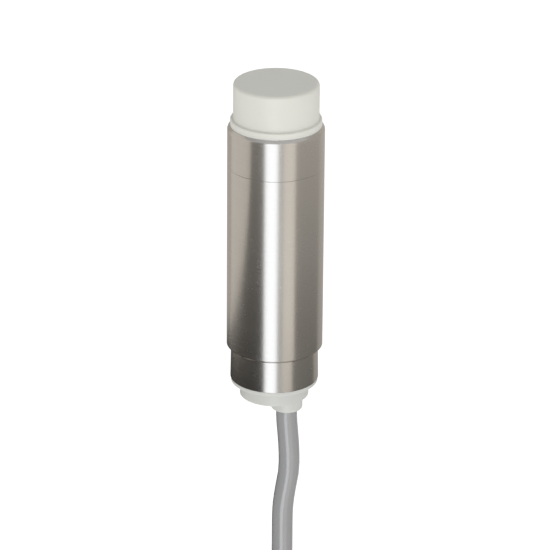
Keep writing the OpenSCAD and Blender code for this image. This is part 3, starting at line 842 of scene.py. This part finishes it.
def band_section(width, thick, round_r, steps=4):
    """Rounded cross-section (outwards, along) of the strap, from its inner face."""
    middle = (thick / 2, 0)
    half = (thick / 2 - round_r, width / 2 - round_r)
    section = []
    for corner, (sx, sy) in enumerate(((1, 1), (-1, 1), (-1, -1), (1, -1))):
        for step in range(steps + 1):
            a = math.pi / 2 * (corner + step / steps)
            section.append((
                middle[0] + sx * half[0] + round_r * math.cos(a),
                middle[1] + sy * half[1] + round_r * math.sin(a)))
    return section


def band_mesh(line, section, closed):
    """Sweeps a section along a plane line (outwards, across); open ends are capped."""
    shape = bmesh.new()
    count = len(line)
    rings = []
    for k, here in enumerate(line):
        before = line[k - 1] if closed or k else here
        after = line[(k + 1) % count] if closed or k < count - 1 else here
        heading = (after - before).normalized()
        out = Vector((heading.y, -heading.x))
        rings.append([
            shape.verts.new((here.x + out.x * u, here.y + out.y * u, v)) for u, v in section])
    pairs = zip(rings, rings[1:] + rings[:1]) if closed else zip(rings, rings[1:])
    for one, two in pairs:
        for k in range(len(section)):
            j = (k + 1) % len(section)
            shape.faces.new((one[k], one[j], two[j], two[k]))
    if not closed:
        shape.faces.new(rings[0])
        shape.faces.new(list(reversed(rings[-1])))
    return closed_mesh(shape)


# ---- operators ----

def settings():
    """The three groups of settings: housing, cable and stage."""
    scene = bpy.context.scene
    return scene.sensor_housing, scene.sensor_cable, scene.sensor_stage


class SensorOperator:
    """What every operator here shares."""

    bl_options = {"REGISTER", "UNDO"}

    def execute(self, context):
        self.build(*settings())
        return {"FINISHED"}


class SENSOR_OT_stage(SensorOperator, bpy.types.Operator):
    """Floor, room light, light cards, lamp and camera"""

    bl_idname = "sensor.stage"
    bl_label = "Stage"

    # Colours of the light cards
    WARM = (1.0, 0.94, 0.86)
    PALE = (1.0, 0.98, 0.95)
    CLEAR = (0.92, 0.95, 1.0)

    # Levels of the ring of cards: height, share of the ring's radius, and the turn at which the
    # dark card ends on the left, in degrees from the viewer's side
    LEVELS = [
        (-0.409, 0.2, -172), (-0.405, 1, -172), (-0.124, 1, -172), (-0.117, 1, -152),
        (-0.112, 1, -131), (-0.105, 1, -109), (-0.0975, 1, -95.5), (-0.084, 1, -81),
        (-0.0645, 1, -68), (-0.046, 1, -61), (-0.03, 1, -58.5), (0.2, 1, -57),
    ]
    SLANT = [turn for height, share, turn in LEVELS]

    # Name; first and last turn; (height, radiance) low down and high up; colour
    CARDS = [
        ("card_front", -23.4, 4.9, (-0.17, 1.95), (-0.01, 1.95), CLEAR),
        ("card_right_gap", 5.9, 18.5, (-0.14, 0.48), (-0.05, 0.66), PALE),
        ("card_right_front", 18.5, 45.8, (-0.132, 0.68), (-0.105, 0.99), WARM),
        ("card_right_side", 45.8, 122, (-0.14, 0.16), (-0.02, 0.52), WARM),
        ("card_right_back", 122, 172, (-0.14, 0.42), (-0.01, 0.60), WARM),
        ("card_left_dark", SLANT, -25.4, (-0.14, 0.02), (-0.03, 0.26), WARM),
        ("card_left_light", -126, SLANT, (-0.127, 0.28), (-0.102, 0.76), WARM),
        ("card_left_back", -172, SLANT, (-0.132, 0.06), (-0.104, 0.50), WARM),
    ]
    BACK_TURN = -126
    CARD_STEPS = 24

    # Where the room begins and ends to brighten, from its left wall (-1) to its middle (0)
    LEFT_WALL = (-1.0, -0.25)

    FLOOR_SIZE = 12
    LAMP_SIZE = 0.6
    LAMP_PLACE = (-0.12, -0.9, 0.22)

    def build(self, housing, cable, stage):
        self.make_floor(stage)
        for card in self.CARDS:
            self.make_card(stage, *card)
        self.make_lights(stage)
        self.make_camera(stage)

    def hide(self, item, *rays):
        """Hides an item from some kinds of rays."""
        for kind in rays:
            setattr(item, "visible_" + kind, False)

    def glow(self, name, low, high, colour):
        """A card's light, from one (height, radiance) low down to another high up."""
        light = Finish(name)
        strength = light.spread(light.parts()[2], low, high)
        light.surface(light.node("ShaderNodeEmission", inputs={0: rgba(colour), 1: strength}))
        return light.material

    def make_floor(self, stage):
        shape = bmesh.new()
        bmesh.ops.create_grid(shape, x_segments=8, y_segments=8, size=self.FLOOR_SIZE)
        bmesh.ops.translate(shape, vec=(0, 0, stage.floor_z), verts=shape.verts)
        floor = new_object("floor", as_mesh(shape, "floor"))
        paint = Finish("floor_paint", specular_ior_level=0.0, emission_strength=stage.floor_glow)
        grain = paint.noise(60.0, 3.0)
        paint.give(
            base_color=paint.blend(grain, rgba((0.80, 0.80, 0.80)), rgba((0.82, 0.82, 0.82))),
            roughness=0.9 + 0.05 * grain,
            emission_color=(1, 1, 1, 1),
        )
        # Seen from below the floor is open
        below = paint.node("ShaderNodeNewGeometry", output="Backfacing")
        clear = paint.node("ShaderNodeBsdfTransparent")
        solid = Wire(paint, paint.shader.outputs[0])
        paint.surface(paint.node("ShaderNodeMixShader", inputs={0: below, 1: solid, 2: clear}))
        floor.data.materials.append(paint.material)

    def edge_turn(self, edge, level, limits):
        """The turn of a card's edge at one level of the slant, kept within limits."""
        place = edge if isinstance(edge, (int, float)) else self.SLANT[level]
        return math.radians(max(limits[0], min(limits[1], place)))

    def make_card(self, stage, name, first, last, low, high, colour):
        shape = bmesh.new()
        limits = (-180, 180)
        if last is self.SLANT:
            limits = (first, self.BACK_TURN if first < self.BACK_TURN else 180)
        rows = []
        for level, (height, share, _) in enumerate(self.LEVELS):
            start = self.edge_turn(first, level, limits)
            end = self.edge_turn(last, level, limits)
            sides = [start + (end - start) * k / self.CARD_STEPS for k in range(self.CARD_STEPS + 1)]
            radius = stage.card_r * share
            rows.append([
                shape.verts.new((radius * math.sin(side), -radius * math.cos(side), height))
                for side in sides])
        for one, two in zip(rows, rows[1:]):
            for k in range(self.CARD_STEPS):
                shape.faces.new((one[k], one[k + 1], two[k + 1], two[k]))
        card = new_object(name, as_mesh(shape, name))
        card.data.materials.append(self.glow(name, low, high, colour))
        self.hide(card, "camera", "shadow", "diffuse", "transmission")

    def make_room(self, stage):
        """An even white room, darker towards its left wall."""
        world = bpy.data.worlds.new("room")
        room = Shading(world)
        sideways = room.parts("Generated")[0]
        first, last = self.LEFT_WALL
        background = room.tree.nodes["Background"].inputs
        room.feed(background["Color"], (1, 1, 1, 1))
        room.feed(background["Strength"], room.spread(
            sideways, (first, stage.left_sky), (last, stage.sky)))
        bpy.context.scene.world = world

    def make_lights(self, stage):
        self.make_room(stage)
        data = bpy.data.lights.new("front_lamp", "AREA")
        data.energy = stage.lamp
        data.size = self.LAMP_SIZE
        lamp = new_object("front_lamp", data)
        lamp.location = self.LAMP_PLACE
        lamp.rotation_euler = (-lamp.location).to_track_quat("-Z", "Y").to_euler()
        self.hide(lamp, "glossy", "camera")

    def make_camera(self, stage):
        data = bpy.data.cameras.new("camera")
        data.lens = stage.lens
        camera = new_object("camera", data)
        tilt = stage.view_tilt
        back = Vector((0, -math.cos(tilt), math.sin(tilt)))
        camera.location = Vector((0, 0, stage.view_height)) + stage.view_distance * back
        look = (-back).to_track_quat("-Z", "Y").to_matrix()
        roll = Matrix.Rotation(stage.view_roll, 3, "Z")
        camera.rotation_euler = (look @ roll).to_euler()
        scene = bpy.context.scene
        scene.camera = camera
        scene.view_settings.view_transform = "Standard"


class SENSOR_OT_finishes(SensorOperator, bpy.types.Operator):
    """Materials, and their place on every node of the frame"""

    bl_idname = "sensor.finishes"
    bl_label = "Finishes"

    def build(self, housing, cable, stage):
        places = [place for node in frame["nodes"].values() for place in node.material_slots]
        slots = [place.material.name for place in places]
        for place in places:
            place.material.name = "frame_" + place.material.name.removeprefix("frame_")
        make_finishes(housing, cable)
        for place, slot in zip(places, slots):
            place.material = bpy.data.materials[slot]


class SENSOR_OT_cable(SensorOperator, bpy.types.Operator):
    """Grey cable, from the outlet to the end of its tied coil"""

    bl_idname = "sensor.cable"
    bl_label = "Cable"

    LEAD_SIDES = 20
    SLEEVE_DENTS = 4

    # The tie: its lock, the slot in it, and the short tail that bends away
    LOCK = Vector((4.4, 6.0, 6.4)) * MM
    LOCK_BEVEL = 0.8 * MM
    STRAP_ROUND = 0.3 * MM
    TAIL_LEN = 10
    TAIL_SIDE = 0.6
    TAIL_BEND = 0.01
    RIB_PITCH = 0.9 * MM
    RIB_LEN = 8

    def build(self, housing, cable, stage):
        path = cable_path(cable)
        mesh = round_sweep(path, cable.diameter / 2, cable.sides, "grey_jacket")
        piece = add_piece("sensor_cable", mesh, "grey_jacket", "cable", "cable_coil")
        leads = [self.make_lead(cable, place, name) for place, name in enumerate(LEAD_ENDS)]
        sleeves = self.make_sleeves(cable)
        ties = self.make_tie(cable)

    def make_lead(self, cable, place, name):
        slot = name + "_insulation"
        mesh = round_sweep(lead_path(cable, place), cable.wire_d / 2, self.LEAD_SIDES, slot)
        return add_piece("loose_wire_" + name, mesh, slot, "lead_" + name)

    def make_sleeves(self, cable):
        """Three crimped wire end sleeves, each with a collar and pressed rings."""
        meshes = []
        for place in range(len(LEAD_ENDS)):
            path = lead_path(cable, place)
            way = (path[-1] - path[-2]).normalized()
            turned = way.to_track_quat("Z", "Y").to_matrix().to_4x4()
            sleeve = self.sleeve_mesh(cable)
            sleeve.transform(Matrix.Translation(path[-1]) @ turned)
            meshes.append(sleeve)
        return add_piece("wire_end_sleeves", joined(meshes), "tinned_metal", "lead_ferrules")

    def sleeve_mesh(self, cable):
        r = cable.sleeve_r
        end = cable.sleeve_len
        corners = [(0, -5 * FINE, 0), (r, -5 * FINE, FINE / 2), (1.12 * r, FINE, 0.8 * FINE),
                   (r, 9 * FINE, FINE)]
        for k in range(self.SLEEVE_DENTS):
            dent = end * (0.28 + 0.15 * k)
            corners += [(r, dent, FINE), (0.86 * r, dent + 2.5 * FINE, FINE),
                        (0.86 * r, dent + 5.5 * FINE, FINE), (r, dent + 8 * FINE, FINE)]
        corners += [(r, end, 1.2 * FINE), (0, end, 0)]
        return turned_mesh(rounded(corners, 3), 32)

    def make_tie(self, cable):
        """Nylon tie: a strap drawn round the strands, its lock, and a short ribbed tail."""
        thick = cable.tie_t
        outline = strap_outline(cable)
        ring = band_mesh(outline, band_section(cable.tie_w, thick, self.STRAP_ROUND), closed=True)
        top = max(point.x for point in outline)
        tail_line = [
            Vector((top + step * MM, (self.TAIL_SIDE + self.TAIL_BEND * step ** 2) * MM))
            for step in range(-1, self.TAIL_LEN + 1)]
        narrow = band_section(0.9 * cable.tie_w, thick, self.STRAP_ROUND)
        tail = band_mesh(tail_line, narrow, closed=False)
        ribs = rib_row(
            [(p.x, p.y, 0) for p in tail_line[2:]], self.RIB_PITCH, thick * 1.35, 0.35 * MM,
            "natural_plastic")
        ribs.transform(Matrix.Diagonal((1, 1, self.RIB_LEN, 1)))
        lock_end = top + self.LOCK.x - 2 * FINE
        box = brick(self.LOCK, (lock_end - self.LOCK.x / 2, 0, 0), self.LOCK_BEVEL)
        mouth = brick((2 * MM, 2.2 * MM, cable.tie_w + 3 * FINE), (lock_end, 7 * FINE, 0), 2 * FINE)
        box = combined(box, [("DIFFERENCE", mouth)])
        for mesh in (ring, tail, ribs, box):
            mesh.transform(tie_place(cable))
        strap = add_piece("tie_band", joined([ring, tail, ribs]), "natural_plastic", "tie_strap")
        return strap, add_piece("tie_lock", box, "natural_plastic", "tie_head")


class SENSOR_OT_tube(SensorOperator, bpy.types.Operator):
    """Steel collar and barrel"""

    bl_idname = "sensor.tube"
    bl_label = "Collar and barrel"

    def build(self, housing, cable, stage):
        outer = BARREL_HIGH.x
        bore = outer - housing.wall
        line = BARREL_HIGH.z
        rim = COLLAR_HIGH.z
        tail = BARREL_LOW.z
        step = tail + housing.tail_len
        root = outer - housing.tail_step
        fine = housing.edge / 3
        spigot = bore + housing.spigot_wall
        spigot_end = line - housing.spigot_len
        collar = [
            (bore, rim, fine), (outer - housing.rim_w, rim, 2 * housing.edge),
            (outer, rim - housing.rim_h, housing.rim_round), (outer, line, housing.edge),
            (spigot - housing.fit, line, fine), (spigot - housing.fit, spigot_end, housing.edge),
            (bore, spigot_end, fine),
        ]
        relief = step - housing.relief_w
        barrel = [
            (bore, spigot_end - housing.fit, fine), (spigot, spigot_end - housing.fit, fine),
            (spigot, line, fine), (outer, line, housing.edge), (outer, step, fine),
            (root, step, fine), (root, relief, fine),
            (root - housing.relief_depth, relief - housing.relief_w / 2, fine),
            (root, relief - housing.relief_w, fine),
            (root + housing.tail_flare, tail, housing.edge), (bore, tail, fine),
        ]
        for name, corners, node in (
            ("steel_collar", collar, "front_collar"), ("steel_barrel", barrel, "barrel"),
        ):
            mesh = turned_mesh(rounded(corners), housing.sides)
            add_piece(name, mesh, "turned_steel", node)


class SENSOR_OT_head(SensorOperator, bpy.types.Operator):
    """Moulded sensing head"""

    bl_idname = "sensor.head"
    bl_label = "Sensing head"

    # The O-ring's middle, below the collar's front
    RING_DROP = 5 * MM

    def build(self, housing, cable, stage):
        face = HEAD_HIGH.z
        skirt = HEAD_LOW.z
        rim = COLLAR_HIGH.z
        flange = rim + housing.flange_h
        flange_r = HEAD_HIGH.x
        head_r = housing.head_d / 2
        bore = head_r - housing.head_wall
        skirt_r = skirt_radius(housing)
        roll = housing.flange_round
        foot = flange_r - head_r - roll
        upper_edge = arc((flange_r - roll, flange - roll), roll, 0, 90)
        upper_edge += arc((head_r + foot, flange + foot), foot, 270, 180)[1:]
        corners = [
            (bore, skirt, FINE), (skirt_r, skirt, 2 * FINE),
            *ring_groove(housing, rim - self.RING_DROP),
            (skirt_r, rim, FINE), (flange_r, rim, FINE), *upper_edge,
            (head_r, face, housing.face_round), (0, face, 0),
            (0, face - housing.face_wall, 0), (bore, face - housing.face_wall, 3 * FINE),
        ]
        mesh = turned_mesh(rounded(corners, 8), housing.sides)
        add_piece("moulded_head", mesh, "head_plastic", "sensing_cap")


class SENSOR_OT_rear(SensorOperator, bpy.types.Operator):
    """Moulded rear cap with its cable outlet, bores and ledges"""

    bl_idname = "sensor.rear"
    bl_label = "Rear cap"

    # The flange and the raised boss on it
    FLANGE_INSET = 0.25 * MM
    FLANGE_H = 1.5 * MM
    BOSS_INSET = 3.15 * MM
    BOSS_H = 6.9 * MM
    BOSS_ROUND = 0.35 * MM
    NOTCH = Vector((1.3, 0.8, 0.6)) * MM

    # The cable outlet and the lip that its seal rests on
    SPOUT_WALL = 1.1 * MM
    SPOUT_ROUND = 0.9 * MM
    LIP_H = 1.2 * MM
    CABLE_GAP = 0.2 * MM
    SEAL_GAP = 0.05 * MM

    # The plug, its O-ring above the tail's end, and the room inside
    RING_UP = 4.5 * MM
    FLOOR = 2.5 * MM
    PLUG_WALL = 2.05 * MM
    LEDGE = 4.2 * MM
    LEDGE_W = 0.8 * MM
    CAVITY_WALL = 2.25 * MM

    # The adjuster's gland and the bores for its shaft, its head and the light guide
    GLAND_R = 2.9 * MM
    GLAND_H = 2.6 * MM
    SHAFT_BORE = 1.53 * MM
    GLAND_BORE = 2.25 * MM
    GLAND_BORE_DEPTH = 1 * MM
    GUIDE_BORE = 1.55 * MM

    # How far a part that is joined on sinks in, and a cutter reaches past what it cuts
    SINK = 0.5 * MM
    PAST = 1 * MM

    def build(self, housing, cable, stage):
        tail = BARREL_LOW.z
        plug = REAR_HIGH.z
        skirt_r = skirt_radius(housing)
        flange_r = BARREL_HIGH.x - housing.tail_step + housing.tail_flare - self.FLANGE_INSET
        boss_r = flange_r - self.BOSS_INSET
        flange = tail - self.FLANGE_H
        rear = tail - self.BOSS_H
        floor = rear + self.FLOOR
        body = turned_mesh(rounded([
            (0, plug, 0), (0, rear, 0), (boss_r, rear, self.BOSS_ROUND),
            (boss_r, flange, 2.5 * FINE), (flange_r, flange, 3 * FINE), (flange_r, tail, FINE),
            (skirt_r, tail, FINE), *ring_groove(housing, tail + self.RING_UP),
            (skirt_r, plug, 2 * FINE),
        ], 8), housing.sides)
        notch = brick(self.NOTCH, (0, -flange_r, flange + self.NOTCH.z / 2))
        mesh = combined(body, [
            ("UNION", self.outlet(flange)),
            ("DIFFERENCE", self.hollow(skirt_r, boss_r, tail, floor, plug)),
            ("UNION", rod(self.GLAND_R, floor - self.SINK, floor + self.GLAND_H, ADJUSTER_AXIS, FINE)),
            *[("DIFFERENCE", bore) for bore in self.bores(cable, plug, floor)],
            ("DIFFERENCE", notch),
        ])
        add_piece("moulded_rear_cap", mesh, "cap_plastic", "rear_cap")

    def outlet(self, flange):
        """The round spout that the cable leaves by."""
        r = (SEAL_HIGH.x - SEAL_LOW.x) / 2 + self.SPOUT_WALL
        top = flange + self.SINK
        corners = [(0, REAR_LOW.z, 0), (r, REAR_LOW.z, self.SPOUT_ROUND), (r, top, FINE), (0, top, 0)]
        return turned_mesh(rounded(corners, 8), 128, OUTLET_AXIS)

    def hollow(self, skirt_r, boss_r, tail, floor, plug):
        """The stepped room for the rear board and what hangs below it."""
        plug_in = skirt_r - self.PLUG_WALL
        ledge_in = plug_in - self.LEDGE_W
        cavity_r = boss_r - self.CAVITY_WALL
        above = plug + self.PAST
        cavity = tail - self.LEDGE_W
        ledge = tail + self.LEDGE
        return turned_mesh(rounded([
            (0, floor, 0), (cavity_r, floor, 3 * FINE), (cavity_r, cavity, FINE),
            (ledge_in, cavity, 3 * FINE), (ledge_in, ledge, FINE), (plug_in, ledge, FINE),
            (plug_in, above, FINE), (0, above, 0),
        ], 4), 128)

    def bores(self, cable, plug, floor):
        """Ways through the floor for the cable, its seal, the adjuster and the light guide."""
        cable_r = cable.diameter / 2 + self.CABLE_GAP
        seal_r = (SEAL_HIGH.x - SEAL_LOW.x) / 2 + self.SEAL_GAP
        below = REAR_LOW.z - self.PAST
        above = plug + self.PAST
        shoulder = floor + self.GLAND_H - self.GLAND_BORE_DEPTH
        return [
            rod(cable_r, below, above, OUTLET_AXIS, sides=96),
            rod(seal_r, REAR_LOW.z + self.LIP_H, above, OUTLET_AXIS, sides=96),
            rod(self.SHAFT_BORE, below, above, ADJUSTER_AXIS),
            rod(self.GLAND_BORE, shoulder, above, ADJUSTER_AXIS),
            rod(self.GUIDE_BORE, below, floor + self.PAST, GUIDE_AXIS),
        ]


class SENSOR_PT_panel(bpy.types.Panel):
    """Lists the steps that build the sensor"""

    bl_label = "Cylindrical sensor"
    bl_idname = "SENSOR_PT_panel"
    bl_space_type = "VIEW_3D"
    bl_region_type = "UI"
    bl_category = "Sensor"

    def draw(self, context):
        for group in settings():
            column = self.layout.column()
            for name in group.__annotations__:
                column.prop(group, name)
        for step in STEPS:
            self.layout.operator(step.bl_idname)


STEPS = [
    SENSOR_OT_stage, SENSOR_OT_finishes, SENSOR_OT_cable, SENSOR_OT_tube, SENSOR_OT_head,
    SENSOR_OT_rear,
]
GROUPS = {
    "sensor_housing": HousingSettings,
    "sensor_cable": CableSettings,
    "sensor_stage": StageSettings,
}


def register():
    for made in [*GROUPS.values(), *STEPS, SENSOR_PT_panel]:
        bpy.utils.register_class(made)
    for name, group in GROUPS.items():
        setattr(bpy.types.Scene, name, PointerProperty(type=group))


def unregister():
    for name in GROUPS:
        delattr(bpy.types.Scene, name)
    for made in reversed([*GROUPS.values(), *STEPS, SENSOR_PT_panel]):
        bpy.utils.unregister_class(made)


def main():
    register()
    for step in STEPS:
        family, action = step.bl_idname.split(".")
        getattr(getattr(bpy.ops, family), action)()


if __name__ == "__main__":
    main()
